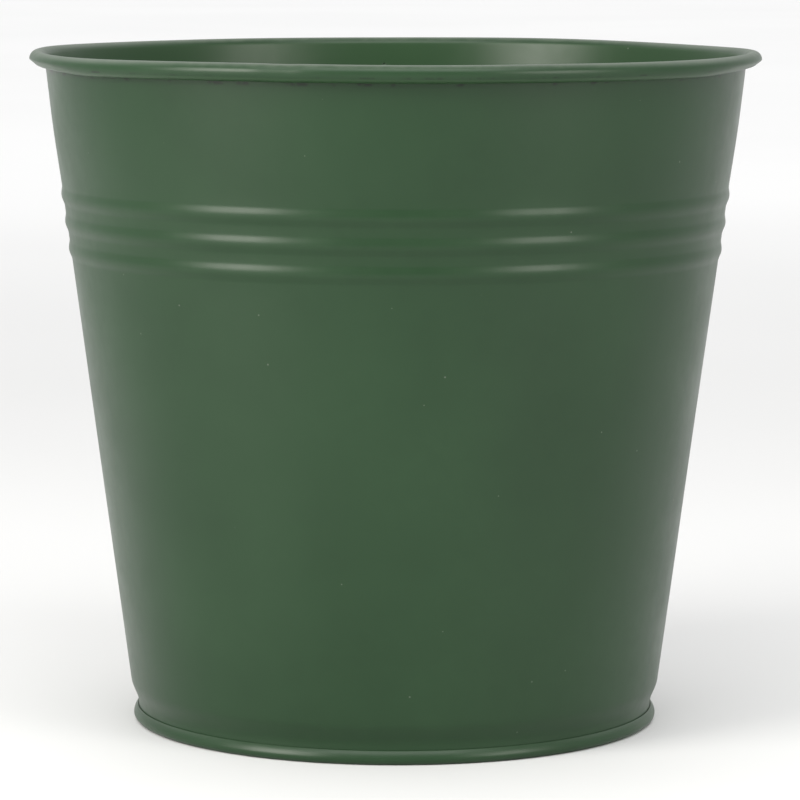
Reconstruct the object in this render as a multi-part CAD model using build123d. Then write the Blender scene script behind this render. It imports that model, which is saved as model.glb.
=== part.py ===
from build123d import *
import math
import os

# A small florist bucket in painted tinplate. It has a tapered wall with three rolled
# ribs near the top, a rim curled outward over a steel wire, a neck just above the foot
# and a recessed floor that is double-seamed to the wall. The wall is one sheet, closed
# by a folded lock seam at the back. Millimetres, +Z up, front towards -Y; the origin is
# the middle of the foot, at the level that the bucket stands on.

# Driving dimensions.
bucket_height = 157.0
rim_diameter = 170.0
foot_diameter = 123.1
sheet = 0.35
wire_diameter = 3.0
wire_clearance = 0.05
wall_slope = 0.1332          # outward lean of the wall, radius gained per unit of height

# Ribs rolled outward in the wall.
rib_count = 3
top_rib_height = 123.9       # height of the uppermost crest above the foot
rib_pitch = 6.3
rib_width = 4.6
rib_rise = 0.45

# Rim: the sheet passes over the wire and ends below it, just short of the wall.
curl_end_angle = -138.0      # degrees, measured about the wire from straight outward

# Base double seam, whose layers from the inside out are the pan's upright wall, the
# bucket wall, the pan's hook, the bucket wall's own hook, and the pan's outer wall.
seam_height = 3.5
seam_gap = 0.04              # clearance between two neighbouring layers
seam_corner = 0.7            # outer corner radius of the pan where it stands
body_hook_top = 2.6
pan_hook_bottom = 1.1
neck_bottom = 3.9
neck_top = 9.5

# Floor of the pan, with one pressed stiffening ring.
floor_level = 4.6            # top face of the floor
floor_corner = 1.0
ring_radius = 47.0
ring_width = 5.0
ring_rise = 0.8

# Lock seam at the back, where both ends of the sheet are folded into each other.
lock_bottom = 11.0
lock_top = 150.0
lock_half_width = 2.8
lock_hook_reach = 2.0        # how far each raw edge reaches past the middle of the seam
lock_gap = 0.05
lock_slot = 0.1
lock_sector = 20.0           # degrees of turn about +Y that hold the whole lock seam

# Sealant.
compound_width = 0.36
compound_top = 3.02
side_bead_half_width = 0.7
side_bead_rise = 0.2
fit_clearance = 0.01

# Worked out from the driving dimensions.
lean = math.atan(wall_slope)
wire_radius = wire_diameter / 2
curl_inner = wire_radius + wire_clearance
curl_outer = curl_inner + sheet
curl_r = rim_diameter / 2 - curl_outer
curl_z = bucket_height - curl_outer
layer_step = sheet + seam_gap
foot_radius = foot_diameter / 2
pan_wall_outer = foot_radius - 4 * layer_step
waist_radius = pan_wall_outer + layer_step
body_hook_inner = foot_radius - sheet - layer_step
hook_r = (waist_radius + body_hook_inner) / 2
hook_bend = (body_hook_inner - waist_radius) / 2
hook_z = sheet + seam_gap + sheet + hook_bend
pan_bend_z = seam_height - sheet - hook_bend
pan_bend_r = foot_radius - sheet - hook_bend


def wall_radius(height, offset=0.0):
    """Radius of the wall's outer face, without the ribs, moved out by offset."""
    at_wire = curl_r - (curl_inner - offset) / math.cos(lean)
    return at_wire + wall_slope * (height - curl_z)


def on_wall(height, offset=0.0):
    return (wall_radius(height, offset), height)


def ribbed_line(bottom, top, offset=0.0):
    """Edges up the wall from bottom to top, following the ribs, moved out by offset."""
    along = (math.sin(lean), math.cos(lean))
    crests = [top_rib_height - rib_pitch * i for i in reversed(range(rib_count))]
    edges = []
    start = on_wall(bottom, offset)
    for crest in crests:
        foot = on_wall(crest - rib_width / 2, offset)
        peak = on_wall(crest, offset + rib_rise)
        head = on_wall(crest + rib_width / 2, offset)
        edges.append(Line(start, foot))
        edges.append(Spline(foot, peak, head, tangents=[along, along]))
        start = head
    edges.append(Line(start, on_wall(top, offset)))
    return edges


def curl_point(radius, angle):
    turn = math.radians(angle)
    return (curl_r + radius * math.cos(turn), curl_z + radius * math.sin(turn))


def curl_arc(radius):
    """Arc about the wire from the curl's end up, over and down to the wall."""
    wall_angle = 180 - math.degrees(lean)
    middle = (curl_end_angle + wall_angle) / 2
    return ThreePointArc(
        curl_point(radius, curl_end_angle),
        curl_point(radius, middle),
        curl_point(radius, wall_angle),
    )


def neck(offset):
    """Edge that brings the wall in to the waist above the foot."""
    return Spline(
        (waist_radius + offset, neck_bottom),
        on_wall(neck_top, offset),
        tangents=[(0, 1), (math.sin(lean), math.cos(lean))],
    )


def half_turn(centre, radius, upward):
    """Half circle about centre, over the top of it or under it."""
    r, z = centre
    height = radius if upward else -radius
    return ThreePointArc((r - radius, z), (r, z + height), (r + radius, z))


def revolved(edges, arc=360.0, start=0.0):
    """Solid of revolution about Z of a closed outline given as (radius, height)."""
    profile = Plane.XZ * make_face(edges)
    return revolve(Rot(0, 0, start) * profile, Axis.Z, revolution_arc=arc)


def body_ring():
    """The whole wall with its curl and hook, before the lock seam is folded in it."""
    edges = [curl_arc(curl_inner), curl_arc(curl_outer)]
    edges.append(Line(curl_point(curl_inner, curl_end_angle), curl_point(curl_outer, curl_end_angle)))
    faces = ((0.0, curl_inner, hook_bend), (-sheet, curl_outer, hook_bend + sheet))
    for offset, curl_radius, hook_radius in faces:
        radius = waist_radius + offset
        hook_side = hook_r + hook_radius
        edges += ribbed_line(neck_top, curl_z + curl_radius * math.sin(lean), offset)
        edges.append(neck(offset))
        edges.append(Line((radius, hook_z), (radius, neck_bottom)))
        edges.append(half_turn((hook_r, hook_z), hook_radius, upward=False))
        edges.append(Line((hook_side, hook_z), (hook_side, body_hook_top)))
    edges.append(Line((body_hook_inner, body_hook_top), (body_hook_inner + sheet, body_hook_top)))
    return revolved(edges)


def wall_layer(low_offset, high_offset, low_x, high_x):
    """Upright strip of sheet at the back, between two offsets from the wall's outer face."""
    inner = ribbed_line(lock_bottom, lock_top, low_offset)
    outer = ribbed_line(lock_bottom, lock_top, high_offset)
    ends = [Line(on_wall(z, low_offset), on_wall(z, high_offset)) for z in (lock_bottom, lock_top)]
    sector = revolved(inner + outer + ends, arc=lock_sector, start=90 - lock_sector / 2)
    from_axis = (Align.CENTER, Align.MIN, Align.MIN)
    slab = Box(high_x - low_x, rim_diameter / 2, bucket_height, align=from_axis)
    return sector & (Pos((low_x + high_x) / 2, 0, 0) * slab)


def lock_layer(index):
    """Offsets of the faces of one of the seam's four layers, counted from the wall out."""
    low = -sheet + index * (sheet + lock_gap)
    return low, low + sheet


def make_body_shell():
    """Wall, curl, neck and hook in one sheet, with the two ends hooked together."""
    slot_left = -lock_half_width - lock_slot
    edge = 2 * sheet
    ring = body_ring()
    slot = wall_layer(-edge, edge, slot_left, -lock_half_width)
    first_low, first_high = lock_layer(0)
    second_low, second_high = lock_layer(1)
    third_low, third_high = lock_layer(2)
    top_low, top_high = lock_layer(3)
    right_fold = wall_layer(first_low, third_high, -lock_half_width, -lock_half_width + sheet)
    right_hook = wall_layer(third_low, third_high, -lock_half_width, lock_hook_reach)
    left_riser = wall_layer(first_low, top_high, slot_left - sheet, slot_left)
    left_cover = wall_layer(top_low, top_high, slot_left - sheet, lock_half_width)
    left_fold = wall_layer(second_low, top_high, lock_half_width - sheet, lock_half_width)
    left_hook = wall_layer(second_low, second_high, -lock_hook_reach, lock_half_width)
    shell = ring - slot
    return shell + right_fold + right_hook + left_riser + left_cover + left_fold + left_hook


def make_base_pan():
    """Floor panel, upright wall, flat standing ring and the hook over the wall's flange."""
    wall_inner = pan_wall_outer - sheet
    floor_bottom = floor_level - sheet
    corner_r = wall_inner - floor_corner
    corner_z = floor_level - floor_corner - sheet
    edges = floor_face(floor_level, corner_r) + floor_face(floor_bottom, corner_r)
    edges.append(Line((0, floor_bottom), (0, floor_level)))
    for radius, wall_r in ((floor_corner, wall_inner), (floor_corner + sheet, pan_wall_outer)):
        edges.append(RadiusArc((corner_r, corner_z + radius), (wall_r, corner_z), radius))
    edges.append(Line((wall_inner, corner_z), (wall_inner, seam_corner)))
    edges.append(Line((pan_wall_outer, corner_z), (pan_wall_outer, seam_corner)))
    left_corner = wall_inner + seam_corner
    right_corner = foot_radius - seam_corner
    for radius, level in ((seam_corner, 0.0), (seam_corner - sheet, sheet)):
        edges.append(RadiusArc((left_corner - radius, seam_corner), (left_corner, level), -radius))
        edges.append(Line((left_corner, level), (right_corner, level)))
        edges.append(RadiusArc((right_corner, level), (right_corner + radius, seam_corner), -radius))
    edges.append(Line((foot_radius, seam_corner), (foot_radius, pan_bend_z)))
    edges.append(Line((foot_radius - sheet, seam_corner), (foot_radius - sheet, pan_bend_z)))
    for radius in (hook_bend, hook_bend + sheet):
        edges.append(half_turn((pan_bend_r, pan_bend_z), radius, upward=True))
        edges.append(Line((pan_bend_r - radius, pan_bend_z), (pan_bend_r - radius, pan_hook_bottom)))
    hook_inner = pan_bend_r - hook_bend - sheet
    edges.append(Line((hook_inner, pan_hook_bottom), (hook_inner + sheet, pan_hook_bottom)))
    return revolved(edges)


def floor_face(level, outer_radius):
    """Edges across one face of the floor, from the centre out, over the pressed ring."""
    ring_start = ring_radius - ring_width / 2
    ring_end = ring_radius + ring_width / 2
    ring = Spline(
        (ring_start, level),
        (ring_radius, level + ring_rise),
        (ring_end, level),
        tangents=[(1, 0), (1, 0)],
    )
    return [Line((0, level), (ring_start, level)), ring, Line((ring_end, level), (outer_radius, level))]


def make_rim_wire():
    """Wire ring that lies inside the curl."""
    return Pos(0, 0, curl_z) * Torus(curl_r, wire_radius)


def make_base_seam_sealant():
    """Ring of compound between the top of the wall's hook and the pan's bend."""
    left = pan_bend_r - compound_width / 2
    right = pan_bend_r + compound_width / 2
    bottom = body_hook_top + fit_clearance
    corners = [(left, bottom), (right, bottom), (right, compound_top), (left, compound_top)]
    return revolved([Line(a, b) for a, b in zip(corners, corners[1:] + corners[:1])])


def make_side_seam_sealant():
    """Bead laid along the inside of the lock seam, over the slot between the folds."""
    middle = -lock_half_width - lock_slot / 2
    outer = -sheet - fit_clearance
    left, right = middle - side_bead_half_width, middle + side_bead_half_width
    return wall_layer(outer - side_bead_rise, outer, left, right)


def main():
    pieces = {
        "body_shell": make_body_shell(),
        "base_pan": make_base_pan(),
        "rim_wire": make_rim_wire(),
        "base_seam_sealant": make_base_seam_sealant(),
        "side_seam_sealant": make_side_seam_sealant(),
    }
    os.makedirs("parts", exist_ok=True)
    for name, piece in pieces.items():
        export_step(piece, f"parts/{name}.step")


main()
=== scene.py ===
import math

import bmesh
import bpy
import numpy as np
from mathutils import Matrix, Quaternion, Vector


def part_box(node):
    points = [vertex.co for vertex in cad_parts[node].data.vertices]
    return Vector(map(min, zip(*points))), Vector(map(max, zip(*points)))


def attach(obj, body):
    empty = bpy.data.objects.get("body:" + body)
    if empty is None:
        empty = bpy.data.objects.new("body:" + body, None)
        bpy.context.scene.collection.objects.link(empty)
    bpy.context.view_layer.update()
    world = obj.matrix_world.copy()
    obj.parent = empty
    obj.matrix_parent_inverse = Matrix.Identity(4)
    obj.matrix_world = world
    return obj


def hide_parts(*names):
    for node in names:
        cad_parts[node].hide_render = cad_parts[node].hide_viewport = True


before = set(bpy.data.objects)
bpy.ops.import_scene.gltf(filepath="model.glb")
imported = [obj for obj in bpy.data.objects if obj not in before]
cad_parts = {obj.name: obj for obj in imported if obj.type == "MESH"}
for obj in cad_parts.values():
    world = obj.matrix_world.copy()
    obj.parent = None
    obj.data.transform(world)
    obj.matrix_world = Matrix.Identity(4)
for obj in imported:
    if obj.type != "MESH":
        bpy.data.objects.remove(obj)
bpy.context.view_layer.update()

# A small florist bucket in painted tinplate: tapered wall with three rolled ribs, rim
# curled over a wire, folded lock seam at the back and a recessed, double-seamed base.
# Metres, in the CAD model's frame: +Z up, front towards -Y, lock seam towards +Y.
mm = 0.001
degree = math.pi / 180

# Places read from the frame.
_, shell_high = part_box("body_shell")
_, pan_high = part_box("base_pan")
wire_low, wire_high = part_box("rim_wire")
rim_radius = shell_high.x
rim_top = shell_high.z
foot_radius = pan_high.x
wire_radius = (wire_high.z - wire_low.z) / 2
curl_z = (wire_high.z + wire_low.z) / 2
curl_outer = rim_top - curl_z
curl_r = rim_radius - curl_outer

# Sheet and wall.
sheet = 0.35 * mm
wall_slope = 0.1332
lean = math.atan(wall_slope)
curl_inner = curl_outer - sheet
curl_end = -150 * degree     # where the curl's raw edge ends, nearly against the wall
curl_sag = 0.2 * mm          # the roll hangs this much lower than a round one
swell = 0.2 * mm             # outward swell of the wall between the ribs and the rim

# Ribs.
rib_count = 3
top_rib = 123.45 * mm
rib_pitch = 6.3 * mm
rib_width = 4.6 * mm
rib_rise = 0.45 * mm

# Base double seam and neck.
seam_gap = 0.04 * mm
layer_step = sheet + seam_gap
seam_corner = 0.55 * mm      # outside radius of the seam's inner corner
seam_nose = 1.35 * mm        # outside radius of the seam's rounded foot
seam_flank = 3.6 * mm        # outside radius of the curved face above it
flank_start = 15 * degree    # how far that face is turned up where it starts
flank_end = 42 * degree      # and where it folds over the hook
hook_lean = 0.03 * mm        # how far the wall's hook leans in at its raw edge
body_hook_top = 1.6 * mm
pan_hook_bottom = 1.3 * mm
neck_bottom = 3.9 * mm
neck_top = 9.5 * mm
pan_wall_outer = foot_radius - 4 * layer_step
waist_radius = pan_wall_outer + layer_step
body_hook_inner = foot_radius - sheet - layer_step
hook_r = (waist_radius + body_hook_inner) / 2
hook_bend = (body_hook_inner - waist_radius) / 2
hook_z = 1.25 * mm           # centre of the bend in the wall's flange
pan_bend_r = foot_radius - sheet - hook_bend
nose_centre = (foot_radius - seam_nose, seam_nose)
flank_r = nose_centre[0] - (seam_flank - seam_nose) * math.cos(flank_start)
flank_z = nose_centre[1] - (seam_flank - seam_nose) * math.sin(flank_start)

# Floor of the pan.
floor_level = 4.6 * mm
floor_hub = 1.5 * mm         # radius of the mesh's innermost ring
floor_corner = 1.0 * mm
ring_radius = 47.0 * mm
ring_width = 5.0 * mm
ring_rise = 0.8 * mm

# Lock seam at the back.
lock_bottom = 11.0 * mm
lock_top = 150.6 * mm        # just under the roll
lock_half_width = 2.8 * mm
lock_reach = 2.0 * mm        # how far each raw edge reaches past the middle of the seam
lock_gap = 0.05 * mm
lock_slot = 0.1 * mm
lock_step = sheet + lock_gap
lock_rise = 3 * lock_step    # the cover's outer face above the wall's
fold_radius = lock_step + sheet / 2             # outside of each hook's fold
fold_inside = fold_radius - sheet
riser_radius = 0.25 * mm     # inside of the two bends in the riser, the groove's far side
riser_outside = riser_radius + sheet
riser_face = -lock_half_width - lock_slot - sheet

# Wire and sealants.
compound_clearance = 0.02 * mm
compound_inset = 0.03 * mm   # its clearance from the pan's hook
wire_gap = 0.3 * mm          # between the two ends of the wire, at the back
bead_half_width = 0.62 * mm
bead_rise = 0.17 * mm
bead_clearance = 0.012 * mm  # between the bead and the wall's inner face
bead_end = 1.2 * mm          # length over which the bead of sealant thins out at each end
end_inset = 0.3 * mm         # how far short of the lock seam's ends the bead stops
# Outline of the bead inside the groove, in mm across it and out from the wall's outer face.
bead_root = ((-0.42, -0.335), (-0.16, -0.2), (0.0, -0.1), (0.16, -0.2), (0.42, -0.335))

# Unevenness of a real bucket. Each length is the most that the effect moves a point.
oval = 0.16 * mm             # the rim is narrower across one way than across the other
rim_wave = 0.24 * mm         # four low places round the rim
rim_ripple = 0.16 * mm       # and six more, shallower
wall_wave = 0.035 * mm       # faint waves in the wall
wall_ripple = 0.02 * mm
roll_low = 150.0 * mm        # the roll's own dents reach down to here
side_knock = 0.95 * mm       # the roll is flattened from below at the left and the right
dent_depth = 0.16 * mm       # dent in the roll at the front left
dent_drop = 0.08 * mm
dent_left = (20.5 * degree, 18.5 * degree)      # from the front, where it begins and is full
dent_right = (14.2 * degree, 15.0 * degree)
foot_ripple = 0.03 * mm      # marks of the seaming rolls round the base seam
cover_swell = 0.05           # share by which the lock seam's thickness varies up the wall
cover_sway = 0.05 * mm       # and how far it wanders sideways

# Wear of the edges, from 0 to 1, which makes chips in the paint more likely.
curl_wear = 0.25
crest_wear = 0.25            # added at the top of the roll
lock_wear = 0.15
shoulder_wear = 0.35         # on the outside of the base seam
foot_wear = 0.3              # added where the bucket stands

# Mesh. Angles round the bucket run from the lock seam (+Y) towards +X: the front is at pi.
column_count = 280           # columns of vertices round the bucket
ring_columns = 240           # and round the wire and the compound ring
curl_points = 44
rows_below_ribs = 24
rows_on_rib = 15
rows_between_ribs = 3
rows_above_ribs = 9
rows_at_roll = 4
bead_rows = 150
seam_zone = 7.5 * mm         # columns are upright strips this far each side of the lock seam
zone_fade = 25 * degree      # and turn into radial ones by this angle
reference_radius = 72 * mm   # where the distances between the columns are counted
lock_spacing = (-6.0, -4.6, -4.0, -1.0, 0.6, 2.0, 3.4, 4.2, 5.6)     # plain columns there, in mm
sharp_angle = 40 * degree

# Colours, linear, and where the paint's dust and the painted shade under the roll lie.
green = (0.0114, 0.0366, 0.0126, 1)
green_light = (0.0134, 0.0406, 0.0146, 1)
green_dark = (0.0096, 0.0326, 0.0108, 1)
# lighter green for the inside, which is painted light: it stands in for brighter light on the inner
# wall
inside_painted_light_green = (0.0264, 0.0689, 0.0223, 1)
thin_paint = (0.016, 0.040, 0.018, 1)
tin = (0.42, 0.43, 0.42, 1)
dust_grey = (0.21, 0.22, 0.19, 1)
speck_grey = (0.30, 0.32, 0.28, 1)
# dark colour of the painted shade under the roll
painted_shade_black = (0.004, 0.009, 0.004, 1)
pinhole_black = (0.02, 0.02, 0.02, 1)
body_dust = 0.22             # share of dust on the faces that look straight up
base_dust = 0.08
painted_shade_low = (rim_top - 5.3 * mm, rim_top - 4.5 * mm)     # heights where the painted shade under the roll starts and is full
painted_shade_high = (rim_top - 2.6 * mm, rim_top - 3.4 * mm)
floor_painted_light_fade = (0.4, 2.0)      # distances between which the floor is painted lighter, to make up for the softboxes' light falling off

# Camera, in front of the bucket and a little above its rim.
camera_back = 1.0111
camera_height = 0.1960
camera_aim = 0.0748          # height on the bucket's axis that it is turned to
camera_lens = 195.1
camera_shift = 0.00625
camera_roll = 0.12 * degree
camera_reach = (0.05, 60.0)  # nearest and farthest distance that it sees

# Softboxes: name, azimuth from the front and positive to the right, elevation, distance
# from the bucket, width, height, power and colour.
warm_white = (1.0, 0.98, 0.92)
plain_white = (1.0, 1.0, 1.0)
softboxes = (
    ("left softbox", -53 * degree, 20 * degree, 0.95, 0.42, 0.50, 8.0, warm_white),
    ("right softbox", 50 * degree, 16 * degree, 1.10, 0.40, 0.46, 4.3, warm_white),
    ("top softbox", 0.0, 57 * degree, 1.10, 1.20, 0.66, 8.5, plain_white),
)

# Surround: its strength in front of the bucket, behind it, and added high up behind it.
# Each fade is the span of Y or Z, in a direction of length 1, over which it comes in.
surround_front = 0.82
surround_back = 0.95
surround_high = 1.2
back_fade = (-0.9, 0.2)
high_fade = (0.25, 0.6)
behind_fade = (-0.2, 0.4)
backdrop = 1.25              # strength that the camera sees, which is plain white
floor_radius = 14.0


def smooth(value, start, end):
    """Smoothstep from 0 at start to 1 at end, for a number or an array."""
    t = np.clip((value - start) / (end - start), 0.0, 1.0)
    return t * t * (3 - 2 * t)


def wall_radius(z, offset=0.0):
    """Radius of the wall's outer face at height z, ribs and swell included, moved out by offset."""
    r = curl_r - (curl_inner - offset) / math.cos(lean) + wall_slope * (z - curl_z)
    for index in range(rib_count):
        t = np.clip((z - top_rib + index * rib_pitch) / (rib_width / 2), -1.0, 1.0)
        r = r + rib_rise * (1 - t * t) ** 2
    rise = np.clip((z - top_rib) / (curl_z - top_rib), 0.0, 1.0)
    return r + swell * np.sin(np.pi * rise) ** 2


def arc(centre, radius, start, end, count):
    """Points (r, z) about centre, both ends included."""
    turn = np.linspace(start, end, count)
    return np.stack([centre[0] + radius * np.cos(turn), centre[1] + radius * np.sin(turn)], 1)


def line(start, end, count):
    """Points (r, z) from start to end, both included."""
    return np.linspace(start, end, count)


def bend(start, end, start_slope, end_slope, count):
    """Curve up from start to end whose radius changes at the given slopes at its ends."""
    t = np.linspace(0.0, 1.0, count)
    rise = end[1] - start[1]
    r = (
        (2 * t**3 - 3 * t**2 + 1) * start[0]
        + (t**3 - 2 * t**2 + t) * start_slope * rise
        + (3 * t**2 - 2 * t**3) * end[0]
        + (t**3 - t**2) * end_slope * rise
    )
    return np.stack([r, start[1] + t * rise], 1)


def curl_face(radius):
    """One face of the curl, from its raw edge round the wire to the wall."""
    points = arc((curl_r, curl_z), radius, curl_end, math.pi - lean, curl_points)
    low = points[:, 1] < curl_z
    points[low, 1] = curl_z + (points[low, 1] - curl_z) * (1 + curl_sag / curl_outer)
    return points


def wall_heights():
    """Heights of the rows of the wall, close together on the ribs."""
    heights = [neck_top, lock_bottom]

    def add_rows(top, count):
        """Goes on evenly from the last height to top, in count rows with both of them."""
        heights.extend(np.linspace(heights[-1], top, count)[1:])

    lowest_rib = top_rib - (rib_count - 1) * rib_pitch
    add_rows(lowest_rib - rib_width / 2, rows_below_ribs)
    for index in reversed(range(rib_count)):
        middle = top_rib - index * rib_pitch
        on_rib = np.linspace(middle - rib_width / 2, middle + rib_width / 2, rows_on_rib)
        heights.extend(on_rib[1:])
        if index:
            add_rows(heights[-1] + rib_pitch - rib_width, rows_between_ribs)
    add_rows(lock_top, rows_above_ribs)
    add_rows(curl_z - 2 * sheet, rows_at_roll)
    return np.array(heights)


def wall_face(offset):
    """Points (r, z) up one face of the wall, moved out by offset from its outer face."""
    z = wall_heights()
    return np.stack([wall_radius(z, offset), z], 1)


def settle(angle, r, z):
    """Moves points by the unevenness of a real bucket. Every piece is built through this."""
    high = smooth(z, 0.6 * rim_top, rim_top)
    at_rim = smooth(z, roll_low, curl_z)
    middle = smooth(z, 0.1 * rim_top, 0.4 * rim_top) * (1 - at_rim)
    in_seam = (1 - smooth(z, neck_bottom, neck_top)) * smooth(r, waist_radius, foot_radius)
    r = r - oval * high * (0.5 + 0.5 * np.cos(2 * angle + 0.9))
    z = z - rim_wave * high * (0.5 + 0.5 * np.sin(4 * angle - 2.54))
    z = z - rim_ripple * high * (0.5 + 0.5 * np.sin(6 * angle + 1.39))
    r = r + wall_wave * middle * np.sin(5 * angle + 40 * z)
    r = r + wall_ripple * middle * np.sin(9 * angle - 75 * z + 1.0)

    at_side = smooth(np.abs(np.sin(angle)), 0.8, 0.97)
    below = np.clip((curl_z - z) / curl_outer, 0.0, 1.0)
    below = 0.6 * below + 0.4 * np.sin(0.5 * np.pi * below)
    below = below * smooth(z, roll_low, curl_z - curl_outer)
    knocked = side_knock * smooth(r, curl_r - curl_outer, rim_radius)
    z = z + (curl_sag + knocked) * at_side * below

    left = angle - np.pi         # angle from the front towards -X
    dent = smooth(left, *dent_left) * smooth(left, *dent_right)
    r = r - dent_depth * at_rim * dent
    z = z - dent_drop * at_rim * dent
    r = r - foot_ripple * in_seam * (0.5 + 0.5 * np.sin(37 * angle + 3 * np.sin(5 * angle)))
    return r, z


def column_angles():
    """Nominal angle of each upright column of vertices, closer together at the lock seam."""
    edge = seam_zone / reference_radius
    lateral = np.array(lock_columns()) / reference_radius
    around = np.linspace(edge, 2 * np.pi - edge, column_count)
    return np.concatenate([np.arcsin(lateral), around])


def lock_columns():
    """Distances from the middle of the lock seam of the columns in its zone, in order."""
    plain = [distance * mm for distance in lock_spacing]
    return sorted([*plain, *groove_columns(), lock_half_width])


def groove_columns():
    """Columns that bound the groove between the lock seam's two sides, in order.

    They are where the riser's bend starts, where that bend and the fold's bend cross the
    wall's outer face, and where the fold starts.
    """
    riser_start = riser_face - riser_radius
    riser_cross = riser_start + math.sqrt(riser_outside**2 - riser_radius**2)
    fold_start = -lock_half_width + fold_radius
    fold_cross = fold_start - math.sqrt(fold_radius**2 - fold_inside**2)
    return [riser_start, riser_cross, fold_cross, fold_start]


def turned(nominal, r):
    """Angle at radius r of a column, which is an upright strip near the lock seam."""
    offset = np.where(nominal > np.pi, nominal - 2 * np.pi, nominal)
    lateral = np.arcsin(np.clip(reference_radius * np.sin(offset) / r, -1, 1))
    near = 1 - smooth(np.abs(offset), seam_zone / reference_radius, zone_fade)
    return offset + (lateral - offset) * near


def placed(angle, r, z):
    """Points in space of (angle, r, z), settled."""
    r, z = settle(np.mod(angle, 2 * np.pi), r, z)
    return np.stack([r * np.sin(angle), r * np.cos(angle), z], -1)


class Sheet:
    """Collects the vertices, faces and edge wear of one mesh."""

    def __init__(self):
        self.points = []
        self.wear = []
        self.faces = []

    def add(self, points, wear):
        """Adds an array of points and returns an equal array of their indices."""
        flat = points.reshape(-1, 3)
        start = len(self.points)
        self.points.extend(map(tuple, flat))
        self.wear.extend(np.broadcast_to(wear, points.shape[:-1]).reshape(-1))
        return np.arange(start, start + len(flat)).reshape(points.shape[:-1])

    def quads(self, grid, closed_rows=False, closed_columns=False, keep=None):
        """Quads over a grid of indices, where keep(row, column) says which stay."""
        rows, columns = grid.shape
        for i in range(rows if closed_rows else rows - 1):
            for j in range(columns if closed_columns else columns - 1):
                if keep is None or keep(i, j):
                    below, beside = (i + 1) % rows, (j + 1) % columns
                    corners = (grid[i, j], grid[below, j], grid[below, beside], grid[i, beside])
                    self.faces.append(tuple(int(c) for c in corners))

    def polygon(self, indices):
        """One face over a ring of indices."""
        self.faces.append(tuple(int(i) for i in indices))

    def fan(self, ring, centre):
        """Triangles from a ring of indices to one at its centre."""
        for j in range(len(ring)):
            self.faces.append((int(ring[j]), int(ring[(j + 1) % len(ring)]), int(centre)))

    def make(self, name, material):
        """The finished object, with its normals outward and its sharp edges marked."""
        mesh = bpy.data.meshes.new(name)
        mesh.from_pydata(self.points, [], self.faces)
        wear = mesh.attributes.new("wear", "FLOAT", "POINT")
        wear.data.foreach_set("value", np.array(self.wear, dtype=np.float32))
        shape = bmesh.new()
        shape.from_mesh(mesh)
        bmesh.ops.delete(shape, geom=[v for v in shape.verts if not v.link_faces], context="VERTS")
        bmesh.ops.recalc_face_normals(shape, faces=shape.faces)
        shape.to_mesh(mesh)
        shape.free()
        mesh.shade_smooth()
        mesh.set_sharp_from_angle(angle=sharp_angle)
        mesh.materials.append(material)
        piece = bpy.data.objects.new(name, mesh)
        bpy.context.scene.collection.objects.link(piece)
        return piece


# ---------------------------------------------------------------- materials


class Nodes:
    """A node tree under construction, with short calls for the nodes used here."""

    def __init__(self, tree, coordinates):
        self.tree = tree
        self.tree.nodes.clear()
        self.place = self.tree.nodes.new("ShaderNodeTexCoord").outputs[coordinates]

    def link(self, value, socket):
        """Joins an output to a socket, or sets the socket to a plain value."""
        if isinstance(value, bpy.types.NodeSocket):
            self.tree.links.new(value, socket)
        else:
            socket.default_value = value

    def part(self, vector, axis):
        """The X, Y or Z of a vector."""
        split = self.tree.nodes.new("ShaderNodeSeparateXYZ")
        self.tree.links.new(vector, split.inputs["Vector"])
        return split.outputs[axis]

    def math(self, operation, first, second):
        """Result of an operation on two values, each an output or a number."""
        node = self.tree.nodes.new("ShaderNodeMath")
        node.operation = operation
        self.link(first, node.inputs[0])
        self.link(second, node.inputs[1])
        return node.outputs["Value"]

    def spread(self, value, start, end, low=0.0, high=1.0):
        """Maps value from start..end to low..high, smoothly and clamped."""
        node = self.tree.nodes.new("ShaderNodeMapRange")
        node.interpolation_type = "SMOOTHSTEP"
        self.link(value, node.inputs["Value"])
        node.inputs["From Min"].default_value = start
        node.inputs["From Max"].default_value = end
        node.inputs["To Min"].default_value = low
        node.inputs["To Max"].default_value = high
        return node.outputs["Result"]


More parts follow.
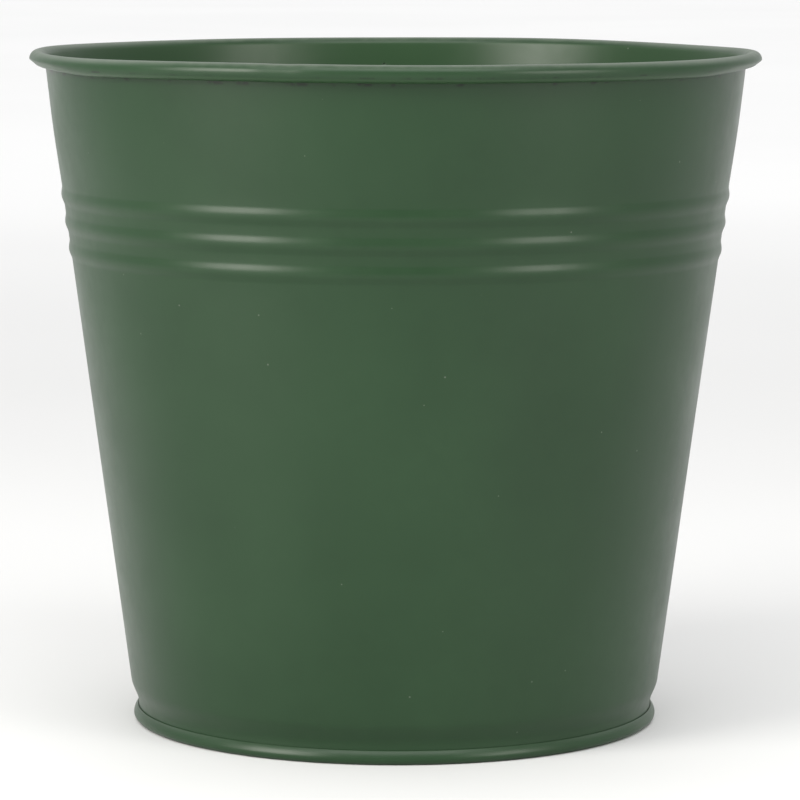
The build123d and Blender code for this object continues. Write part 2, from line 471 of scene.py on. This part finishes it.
class Material(Nodes):
    """A node material around one Principled shader."""

    def __init__(self, name):
        self.material = bpy.data.materials.new(name)
        self.material.use_nodes = True
        super().__init__(self.material.node_tree, "Object")
        output = self.tree.nodes.new("ShaderNodeOutputMaterial")
        self.shader = self.tree.nodes.new("ShaderNodeBsdfPrincipled")
        self.tree.links.new(self.shader.outputs["BSDF"], output.inputs["Surface"])

    def stretched(self, scale):
        """Object coordinates scaled by three factors."""
        node = self.tree.nodes.new("ShaderNodeMapping")
        self.tree.links.new(self.place, node.inputs["Vector"])
        node.inputs["Scale"].default_value = scale
        return node.outputs["Vector"]

    def noise(self, size, detail=2.0, roughness=0.5, place=None):
        """Noise from 0 to 1 whose features are about size metres."""
        node = self.tree.nodes.new("ShaderNodeTexNoise")
        self.tree.links.new(place or self.place, node.inputs["Vector"])
        node.inputs["Scale"].default_value = 1 / size
        node.inputs["Detail"].default_value = detail
        node.inputs["Roughness"].default_value = roughness
        return node.outputs["Fac"]

    def cells(self, size):
        """Distance to the nearest of scattered points about size metres apart."""
        node = self.tree.nodes.new("ShaderNodeTexVoronoi")
        self.tree.links.new(self.place, node.inputs["Vector"])
        node.inputs["Scale"].default_value = 1 / size
        return node.outputs["Distance"]

    def attribute(self, name):
        """A value stored on the mesh's vertices."""
        node = self.tree.nodes.new("ShaderNodeAttribute")
        node.attribute_name = name
        return node.outputs["Fac"]

    def normal(self):
        """Where the surface faces, with its bumps left out."""
        return self.tree.nodes.new("ShaderNodeNewGeometry").outputs["Normal"]

    def upward(self):
        """How far the surface faces up, from -1 to 1."""
        return self.part(self.normal(), "Z")

    def outward(self):
        """Product of place and normal, in metres: negative on the inside of the wall."""
        node = self.tree.nodes.new("ShaderNodeVectorMath")
        node.operation = "DOT_PRODUCT"
        self.tree.links.new(self.place, node.inputs[0])
        self.tree.links.new(self.normal(), node.inputs[1])
        return node.outputs["Value"]

    def height(self):
        """Height above the foot."""
        return self.part(self.place, "Z")

    def distance(self):
        """Distance from the middle of the foot."""
        node = self.tree.nodes.new("ShaderNodeVectorMath")
        node.operation = "LENGTH"
        self.tree.links.new(self.place, node.inputs[0])
        return node.outputs["Value"]

    def blend(self, factor, first, second):
        """Mixes two colours."""
        node = self.tree.nodes.new("ShaderNodeMix")
        node.data_type = "RGBA"
        self.link(factor, node.inputs["Factor"])
        colours = [s for s in node.inputs if s.type == "RGBA"]
        self.link(first, colours[0])
        self.link(second, colours[1])
        return next(s for s in node.outputs if s.type == "RGBA")

    def bump(self, height, distance, strength, under=None):
        """Normal bent by a height from 0 to 1, on top of the bump under it."""
        node = self.tree.nodes.new("ShaderNodeBump")
        node.inputs["Distance"].default_value = distance
        node.inputs["Strength"].default_value = strength
        self.link(height, node.inputs["Height"])
        if under is not None:
            self.link(under, node.inputs["Normal"])
        return node.outputs["Normal"]

    def finish(self, colour, roughness, normal, **others):
        """Joins everything to the shader. Others name its inputs, with _ for a space."""
        self.link(colour, self.shader.inputs["Base Color"])
        self.link(roughness, self.shader.inputs["Roughness"])
        self.link(normal, self.shader.inputs["Normal"])
        for name, value in others.items():
            self.link(value, self.shader.inputs[name.replace("_", " ")])
        return self.material


def green_paint(name, dust_share, scuffed_foot=False):
    """Satin dark green enamel on tinplate: mottling, dust, painted shade under the roll and chips.
    """
    m = Material(name)
    cloud = m.noise(45 * mm, detail=3.0, roughness=0.55)
    mottle = m.noise(3.5 * mm, detail=3.0, roughness=0.6)
    peel = m.noise(0.9 * mm, detail=1.0)
    drawn = m.noise(2.5 * mm, detail=2.0, place=m.stretched((1.0, 1.0, 0.12)))
    colour = m.blend(m.spread(cloud, 0.3, 0.7), green_dark, green_light)
    colour = m.blend(m.spread(mottle, 0.35, 0.7, 0.0, 0.5), colour, green)

    facing_up = m.spread(m.upward(), 0.35, 1.0, 0.0, dust_share)
    dust = m.math("MULTIPLY", facing_up, m.spread(mottle, 0.3, 0.75, 0.4, 1.0))
    colour = m.blend(dust, colour, dust_grey)
    # painted light: the inside of the wall is blended towards a lighter green
    inside = m.spread(m.outward(), -5 * mm, -15 * mm, 0.0, 0.3)
    colour = m.blend(inside, colour, inside_painted_light_green)
    speck = m.spread(m.cells(7 * mm), 0.035, 0.02)
    colour = m.blend(m.math("MULTIPLY", speck, 0.25), colour, speck_grey)

    # painted shade: a dark band in patches on the outside of the wall just under the roll, where
    # the roll's shadow falls
    under_roll = m.math(
        "MULTIPLY", m.spread(m.height(), *painted_shade_low), m.spread(m.height(), *painted_shade_high)
    )
    under_roll = m.math("MULTIPLY", under_roll, m.spread(m.outward(), 0.0, 5 * mm))
    patches = m.spread(m.noise(5 * mm, detail=3.0, roughness=0.65), 0.50, 0.60, 0.0, 0.9)
    colour = m.blend(m.math("MULTIPLY", under_roll, patches), colour, painted_shade_black)

    chip_noise = m.noise(1.3 * mm, detail=4.0, roughness=0.65)
    chance = m.math("ADD", m.math("MULTIPLY", m.attribute("wear"), 0.30), chip_noise)
    if scuffed_foot:
        standing = m.spread(m.height(), 0.35 * mm, 0.0, 0.0, 0.24)
        chance = m.math("ADD", chance, standing)
    chipped = m.spread(chance, 0.90, 0.93)
    colour = m.blend(m.spread(chance, 0.78, 0.92, 0.0, 0.4), colour, thin_paint)
    colour = m.blend(chipped, colour, tin)

    satin = m.spread(m.noise(18 * mm, detail=3.0), 0.3, 0.7, 0.32, 0.37)
    satin = m.math("ADD", satin, m.math("MULTIPLY", m.math("ADD", mottle, -0.5), 0.08))
    satin = m.math("ADD", satin, m.math("MULTIPLY", dust, 0.5))
    normal = m.bump(drawn, 0.010 * mm, 0.25)
    normal = m.bump(peel, 0.006 * mm, 0.5, under=normal)
    normal = m.bump(m.math("SUBTRACT", 1.0, chipped), 0.05 * mm, 0.6, under=normal)
    return m.finish(colour, satin, normal, Metallic=chipped, Specular_IOR_Level=0.31)


def galvanised_wire():
    """Drawn galvanised wire: pale grey, with fine lines along it and dull patches."""
    m = Material("drawn galvanised wire")
    patches = m.noise(6 * mm, detail=4.0, roughness=0.6)
    lines = m.noise(0.35 * mm, detail=2.0, place=m.stretched((0.05, 0.05, 1.0)))
    colour = m.blend(m.spread(patches, 0.35, 0.65), (0.46, 0.47, 0.48, 1), (0.62, 0.63, 0.64, 1))
    colour = m.blend(m.spread(lines, 0.4, 0.7, 0.0, 0.3), colour, (0.30, 0.31, 0.32, 1))
    shine = m.spread(patches, 0.3, 0.7, 0.28, 0.46)
    return m.finish(colour, shine, m.bump(lines, 0.01 * mm, 0.6), Metallic=1.0)


def sealant(name, dark, light):
    """Matt rubbery sealant with a slightly uneven skin and a few pinholes."""
    m = Material(name)
    skin = m.noise(1.1 * mm, detail=3.0, roughness=0.6)
    pinholes = m.spread(m.cells(1.7 * mm), 0.10, 0.05)
    colour = m.blend(m.spread(skin, 0.3, 0.7), dark, light)
    colour = m.blend(m.math("MULTIPLY", pinholes, 0.6), colour, pinhole_black)
    normal = m.bump(skin, 0.05 * mm, 0.6)
    normal = m.bump(m.math("SUBTRACT", 1.0, pinholes), 0.05 * mm, 0.5, under=normal)
    return m.finish(colour, m.spread(skin, 0.2, 0.8, 0.6, 0.8), normal)


def pale_floor():
    """Pale matt floor, painted a little lighter far from the bucket, as painted light that makes up
    for the softboxes' light falling off there.
    """
    m = Material("pale floor")
    tone = m.spread(m.noise(0.6, detail=2.0), 0.3, 0.7)
    near = m.blend(tone, (0.59, 0.59, 0.59, 1), (0.61, 0.61, 0.61, 1))
    far = m.blend(tone, (0.86, 0.86, 0.86, 1), (0.88, 0.88, 0.88, 1))
    # painted light: darker near the bucket where the softboxes light the floor, lighter far away
    # where their light does not reach
    colour = m.blend(m.spread(m.distance(), *floor_painted_light_fade), near, far)
    return m.finish(colour, 0.75, m.bump(m.noise(1.5 * mm, detail=2.0), 0.05 * mm, 0.2))


# ---------------------------------------------------------------- pieces


def body_hook(offset_radius, count):
    """One face of the flange at the foot of the wall, from the waist round to its raw edge."""
    turn = arc((hook_r, hook_z), hook_bend + offset_radius, math.pi, 2 * math.pi, count)
    side = hook_r + hook_bend + offset_radius
    return np.concatenate([turn, line((side, hook_z), (side - hook_lean, body_hook_top), 4)[1:]])


def body_profile():
    """Closed outline of the body sheet, the wear of each point and where its wall rows lie."""
    outside_curl = curl_face(curl_outer)
    crest = np.sin(np.linspace(0.0, np.pi, len(outside_curl)))
    inner = wall_face(-sheet)[::-1]
    neck_in = bend((waist_radius - sheet, neck_bottom), tuple(inner[-1]), 0.0, wall_slope, 9)
    outer = wall_face(0.0)
    neck_out = bend((waist_radius, neck_bottom), tuple(outer[0]), 0.0, wall_slope, 9)
    low_parts = [neck_in[::-1][1:], body_hook(sheet, 13), body_hook(0.0, 13)[::-1], neck_out[:-1]]
    parts = [outside_curl, inner, *low_parts, outer, curl_face(curl_inner)[::-1]]
    points = np.concatenate(parts)
    wear = np.zeros(len(points))
    wear[: len(crest)] = curl_wear + crest_wear * crest
    inner_start = len(outside_curl)
    outer_start = inner_start + len(inner) + sum(len(part) for part in low_parts)
    return points, wear, inner_start, outer_start


def fold_sections():
    """Outlines (x, offset) of the lock seam's two sides, each in two stretches.

    The cover side is the riser, the cover and its hook, and the other side is one fold.
    Each side's first stretch lies outside the wall's outer face and its second stretch
    goes on through the wall's thickness towards the inner face.
    """
    riser_start, _, _, fold_start = groove_columns()
    up, down, left, right = 0.5 * np.pi, -0.5 * np.pi, np.pi, 0.0
    hook = lock_half_width - fold_radius
    middle = lock_rise - fold_radius
    first = (riser_start, riser_radius)
    second = (riser_face + riser_outside, lock_rise - riser_outside)
    dip = math.asin(riser_radius / riser_outside)
    cover = [
        arc(first, riser_radius, down, right, 5)[1:],
        arc(second, riser_outside, left, up, 8),
        line((second[0], lock_rise), (hook, lock_rise), 5)[1:-1],
        arc((hook, middle), fold_radius, up, down, 11),
        line((hook, lock_gap), (-lock_reach, lock_gap), 5)[1:],
        line((-lock_reach, lock_gap + sheet), (hook, lock_gap + sheet), 5)[:-1],
        arc((hook, middle), fold_inside, down, up, 9),
        line((hook, lock_rise - sheet), (second[0], lock_rise - sheet), 5)[1:-1],
        arc(second, riser_radius, up, left, 5),
        arc(first, riser_outside, right, -dip, 4),
    ]
    cover_in = arc(first, riser_outside, -dip, down, 5)[1:-1]
    third_low, third_high = 2 * lock_step - sheet, 2 * lock_step
    centre = (fold_start, fold_inside)
    dip = math.asin(fold_inside / fold_radius)
    fold = [
        arc(centre, fold_inside, -up, -1.5 * np.pi, 9)[1:],
        line((fold_start, third_low), (lock_reach, third_low), 5)[1:],
        line((lock_reach, third_high), (fold_start, third_high), 5)[:-1],
        arc(centre, fold_radius, up, left + dip, 8),
    ]
    fold_in = arc(centre, fold_radius, left + dip, 1.5 * np.pi, 5)[1:-1]
    return np.concatenate(cover), cover_in, np.concatenate(fold), fold_in


def on_section(section, z):
    """Points in space, row by row, of a section (x, offset) carried up the wall at heights z."""
    x, offset = section[:, 0][None, :], section[:, 1][None, :] / math.cos(lean)
    swelling = cover_swell * np.sin(z * 260 + 1.3)[:, None] * smooth(offset, 0.4 * mm, 1.2 * mm)
    r = wall_radius(z)[:, None] + offset * (1 + swelling)
    x = x + cover_sway * np.sin(z * 190)[:, None] * smooth(offset, 0.0, 0.6 * mm)
    z = np.broadcast_to(z[:, None], r.shape)
    return placed(np.arcsin(x / r), r, z)


def build_body(material):
    """Wall, curl, neck and hook as one sheet, with its two ends hooked together at the back."""
    shell = Sheet()
    profile, wear, inner_start, outer_start = body_profile()
    columns = column_angles()
    r, z = profile[:, 0][:, None], profile[:, 1][:, None]
    grid = shell.add(placed(turned(columns[None, :], r), r, z), wear[:, None])
    heights = wall_heights()
    low = int(np.argmin(abs(heights - lock_bottom)))
    high = int(np.argmin(abs(heights - lock_top)))
    last = inner_start + len(heights) - 1
    outer_rows = [outer_start + k for k in range(low, high + 1)]
    inner_rows = [last - k for k in range(low, high + 1)]
    lateral = lock_columns()
    first, cross_a, cross_b, end = (lateral.index(x) for x in groove_columns())
    outer_set, inner_set = set(outer_rows[:-1]), set(inner_rows[1:])

    def keep(i, j):
        """Whether a quad stays: the groove is left open between the two sides."""
        return not (first <= j < end and (i in outer_set or i in inner_set))

    shell.quads(grid, closed_rows=True, closed_columns=True, keep=keep)
    rows_z = heights[low : high + 1]
    cover, cover_in, fold, fold_in = fold_sections()
    groove_sides = []
    for section, inside, start, cross in (
        (cover, cover_in, first, cross_a),
        (fold, fold_in, end, cross_b),
    ):
        body = shell.add(on_section(section[:-1], rows_z), lock_wear)
        deep = shell.add(on_section(inside, rows_z), 0.0)
        above = [grid[outer_rows, start], *body.T, grid[outer_rows, cross]]
        below = [*deep.T, grid[inner_rows, start]]
        shell.quads(np.stack(above + below, 1))
        groove_sides.append(deep)
        for row in (0, -1):
            shell.polygon([column[row] for column in above])
    down, up = groove_sides[0], groove_sides[1][:, ::-1]
    for row in (0, -1):
        across = grid[inner_rows[row], first : end + 1]
        outside = grid[outer_rows[row], [cross_b, cross_a]]
        shell.polygon([*outside, *down[row], *across, *up[row]])
    return shell.make("body_sheet", material)


def floor_face(level, outer_radius):
    """One face of the floor from near its middle out, over the pressed ring."""
    start, end = ring_radius - ring_width / 2, ring_radius + ring_width / 2
    r = np.linspace(start, end, 17)
    t = (r - ring_radius) / (ring_width / 2)
    ring = np.stack([r, level + ring_rise * (1 - t * t) ** 2], 1)
    middle = line((floor_hub, level), (start, level), 9)[:-1]
    return np.concatenate([middle, ring, line((end, level), (outer_radius, level), 5)[1:]])


def pan_face(grow):
    """One face of the pan beyond its floor: corner, wall, standing ring, outer wall and hook.

    grow is 0 for the face towards the seam's inside and the sheet's thickness for the other.
    """
    wall_inner = pan_wall_outer - sheet
    centre = (wall_inner - floor_corner, floor_level - floor_corner - sheet)
    corner = arc(centre, floor_corner + sheet - grow, 0.5 * math.pi, 0.0, 9)
    left = (wall_inner + seam_corner, seam_corner)
    nose_radius = seam_nose - sheet + grow
    flank_radius = seam_flank - sheet + grow
    leg = pan_bend_r - hook_bend - grow
    leg_top = leg - 0.5 * hook_lean
    if grow:
        face = arc((flank_r, flank_z), flank_radius, flank_start, flank_end, 13)
        fold = (face[-1, 0] - leg_top) / (1 + math.cos(flank_end))
        fold_centre = (leg_top + fold, face[-1, 1] - fold * math.sin(flank_end))
        over = [face, arc(fold_centre, fold, flank_end, math.pi, 11)[1:]]
    else:
        meeting = math.acos((leg_top - flank_r) / flank_radius)
        over = [arc((flank_r, flank_z), flank_radius, flank_start, meeting, 13)]
    return np.concatenate([
        corner,
        arc(left, seam_corner - sheet + grow, math.pi, 1.5 * math.pi, 7),
        arc(nose_centre, nose_radius, -0.5 * math.pi, flank_start, 13)[:-1],
        *over,
        line(over[-1][-1], (leg, pan_hook_bottom), 4)[1:],
    ])


def revolve(piece, profile, wear, angles, closed_rows=True, closed_columns=True):
    """Adds the surface that a profile sweeps at the given angles, and returns its grid."""
    r, z = profile[:, 0][:, None], profile[:, 1][:, None]
    wear = np.broadcast_to(wear, len(profile))[:, None]
    grid = piece.add(placed(np.broadcast_to(angles[None, :], (len(r), len(angles))), r, z), wear)
    piece.quads(grid, closed_rows, closed_columns)
    return grid


def full_turn(count):
    """Evenly spaced angles all the way round."""
    return np.arange(count) * 2 * np.pi / count


def build_pan(material):
    """Recessed floor, upright wall, standing ring and the hook over the body's flange."""
    pan = Sheet()
    wall_inner = pan_wall_outer - sheet
    corner_r = wall_inner - floor_corner
    top = np.concatenate([floor_face(floor_level, corner_r)[:-1], pan_face(0.0)])
    under = np.concatenate([floor_face(floor_level - sheet, corner_r)[:-1], pan_face(sheet)])
    outline = np.concatenate([top, under[::-1]])
    shoulder = smooth(outline[:, 0], waist_radius, foot_radius)
    foot = smooth(outline[:, 1], 0.5 * mm, 0.0)
    wear = shoulder_wear * shoulder + foot_wear * foot
    grid = revolve(pan, outline, wear, full_turn(column_count), closed_rows=False)
    for row in (0, -1):
        middle = Vector((0.0, 0.0, outline[row, 1]))
        pan.fan(grid[row], pan.add(np.array(middle)[None, :], 0.0)[0])
    return pan.make("base_sheet", material)


def build_wire(material):
    """Steel wire inside the rim's curl, bent round until its two ends meet at the back."""
    wire = Sheet()
    joint = 0.5 * wire_gap / curl_r
    angles = np.linspace(joint, 2 * np.pi - joint, ring_columns)
    section = arc((curl_r, curl_z), wire_radius, 0.0, 2 * np.pi, 21)[:-1]
    grid = revolve(wire, section, 0.0, angles, closed_columns=False)
    for column in (0, -1):
        wire.polygon(grid[:, column])
    return wire.make("rim_wire_ring", material)


def build_compound(material):
    """Ring of lining compound squeezed between the wall's hook and the pan's bend."""
    ring = Sheet()
    low = body_hook_top + compound_clearance
    inner = pan_bend_r - hook_bend - 0.5 * hook_lean + compound_inset
    radius = seam_flank - sheet - compound_clearance
    start, end = math.asin((low - flank_z) / radius), math.acos((inner - flank_r) / radius)
    outside = arc((flank_r, flank_z), radius, start, end, 9)
    section = np.concatenate([outside, line((inner, low), (outside[0, 0], low), 4)[:-1]])
    revolve(ring, section, 0.0, full_turn(ring_columns))
    return ring.make("seam_compound_ring", material)


def build_bead(material):
    """Bead of sealant run up the inside of the lock seam and down into its groove."""
    bead = Sheet()
    middle = -lock_half_width - lock_slot / 2
    rows = np.linspace(lock_bottom + end_inset, lock_top - end_inset, bead_rows)
    low_end = smooth(rows, rows[0], rows[0] + bead_end)
    ends = low_end * smooth(rows, rows[-1], rows[-1] - bead_end)
    wave = 0.5 * np.sin(rows * 410) + 0.3 * np.sin(rows * 930 + 1.0) + 0.2 * np.sin(rows * 1730)
    half = (bead_half_width + 0.07 * mm * wave) * (0.35 + 0.65 * ends)
    rise = (bead_rise + 0.03 * mm * wave[::-1]) * (0.3 + 0.7 * ends)
    t = np.linspace(1.0, -1.0, 9)
    x = middle + t[None, :] * half[:, None]
    offset = -sheet - bead_clearance - rise[:, None] * (1 - t[None, :] ** 2)
    groove = np.array(bead_root) * mm
    shrink = (0.35 + 0.65 * ends)[:, None]
    x = np.concatenate([x, middle + groove[None, :, 0] * shrink], 1)
    depth = np.broadcast_to(groove[None, :, 1], (len(rows), len(groove)))
    offset = np.concatenate([offset, depth], 1) / math.cos(lean)
    z = np.broadcast_to(rows[:, None], x.shape)
    r = wall_radius(z) + offset
    grid = bead.add(placed(np.arcsin(x / r), r, z), 0.0)
    bead.quads(grid, closed_columns=True)
    for row in (0, -1):
        bead.polygon(grid[row])
    return bead.make("lock_seam_bead", material)


def place_pieces():
    """Builds every piece, each in place of its CAD node."""
    body_paint = green_paint("satin green enamel", body_dust)
    base_paint = green_paint("satin green enamel, base", base_dust, scuffed_foot=True)
    bead_paint = sealant("side seam sealant", (0.030, 0.062, 0.032, 1), (0.045, 0.085, 0.046, 1))
    compound = sealant("lining compound", (0.24, 0.24, 0.25, 1), (0.34, 0.34, 0.35, 1))
    pieces = (
        (build_body(body_paint), "body_shell", "green_paint"),
        (build_pan(base_paint), "base_pan", "green_paint_base"),
        (build_wire(galvanised_wire()), "rim_wire", "rim_steel"),
        (build_compound(compound), "base_seam_sealant", "seam_compound"),
        (build_bead(bead_paint), "side_seam_sealant", "seam_sealant"),
    )
    for piece, node, slot in pieces:
        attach(piece, "root")
        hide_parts(node)


# ---------------------------------------------------------------- setting


def make_floor():
    """Plain pale floor, wide enough to fill the view to the horizon."""
    mesh = bpy.data.meshes.new("floor")
    ring = [(floor_radius * math.cos(a), floor_radius * math.sin(a), 0.0) for a in full_turn(64)]
    mesh.from_pydata(ring, [], [tuple(range(len(ring)))])
    mesh.materials.append(pale_floor())
    floor = bpy.data.objects.new("floor", mesh)
    bpy.context.scene.collection.objects.link(floor)


def make_softbox(name, azimuth, elevation, distance, width, height, power, tint):
    """Soft area light aimed at the middle of the bucket."""
    aim = Vector((0.0, 0.0, 0.5 * rim_top))
    side = math.sin(azimuth) * math.cos(elevation)
    ahead = math.cos(azimuth) * math.cos(elevation)
    light = bpy.data.lights.new(name, "AREA")
    light.shape = "RECTANGLE"
    light.size = width
    light.size_y = height
    light.energy = power
    light.color = tint
    lamp = bpy.data.objects.new(name, light)
    lamp.location = aim + distance * Vector((side, -ahead, math.sin(elevation)))
    lamp.rotation_euler = (aim - lamp.location).to_track_quat("-Z", "Y").to_euler()
    lamp.visible_camera = False
    bpy.context.scene.collection.objects.link(lamp)


def make_world():
    """Plain white surround, brightest high up behind the bucket."""
    world = bpy.data.worlds.new("studio")
    world.use_nodes = True
    nodes = Nodes(world.node_tree, "Generated")
    depth, height = nodes.part(nodes.place, "Y"), nodes.part(nodes.place, "Z")
    walls = nodes.spread(depth, *back_fade, surround_front, surround_back)
    high = nodes.spread(height, *high_fade, 0.0, surround_high)
    behind = nodes.spread(depth, *behind_fade)
    lit = nodes.math("ADD", walls, nodes.math("MULTIPLY", high, behind))
    seen = nodes.tree.nodes.new("ShaderNodeMix")
    ray = nodes.tree.nodes.new("ShaderNodeLightPath")
    light = nodes.tree.nodes.new("ShaderNodeBackground")
    output = nodes.tree.nodes.new("ShaderNodeOutputWorld")
    nodes.link(ray.outputs["Is Camera Ray"], seen.inputs["Factor"])
    nodes.link(lit, seen.inputs["A"])
    nodes.link(backdrop, seen.inputs["B"])
    nodes.link(seen.outputs["Result"], light.inputs["Strength"])
    nodes.link(light.outputs["Background"], output.inputs["Surface"])
    bpy.context.scene.world = world


def make_camera():
    """The camera, turned to a point on the bucket's axis."""
    camera = bpy.data.objects.new("camera", bpy.data.cameras.new("camera"))
    camera.location = (0.0, -camera_back, camera_height)
    aim = Vector((0.0, 0.0, camera_aim))
    level = (aim - camera.location).to_track_quat("-Z", "Y")
    camera.rotation_euler = (level @ Quaternion((0.0, 0.0, 1.0), camera_roll)).to_euler()
    camera.data.lens = camera_lens
    camera.data.shift_x = camera_shift
    camera.data.clip_start, camera.data.clip_end = camera_reach
    bpy.context.scene.collection.objects.link(camera)
    bpy.context.scene.camera = camera


place_pieces()
make_floor()
make_world()
for softbox in softboxes:
    make_softbox(*softbox)
make_camera()
bpy.context.scene.view_settings.view_transform = "Standard"
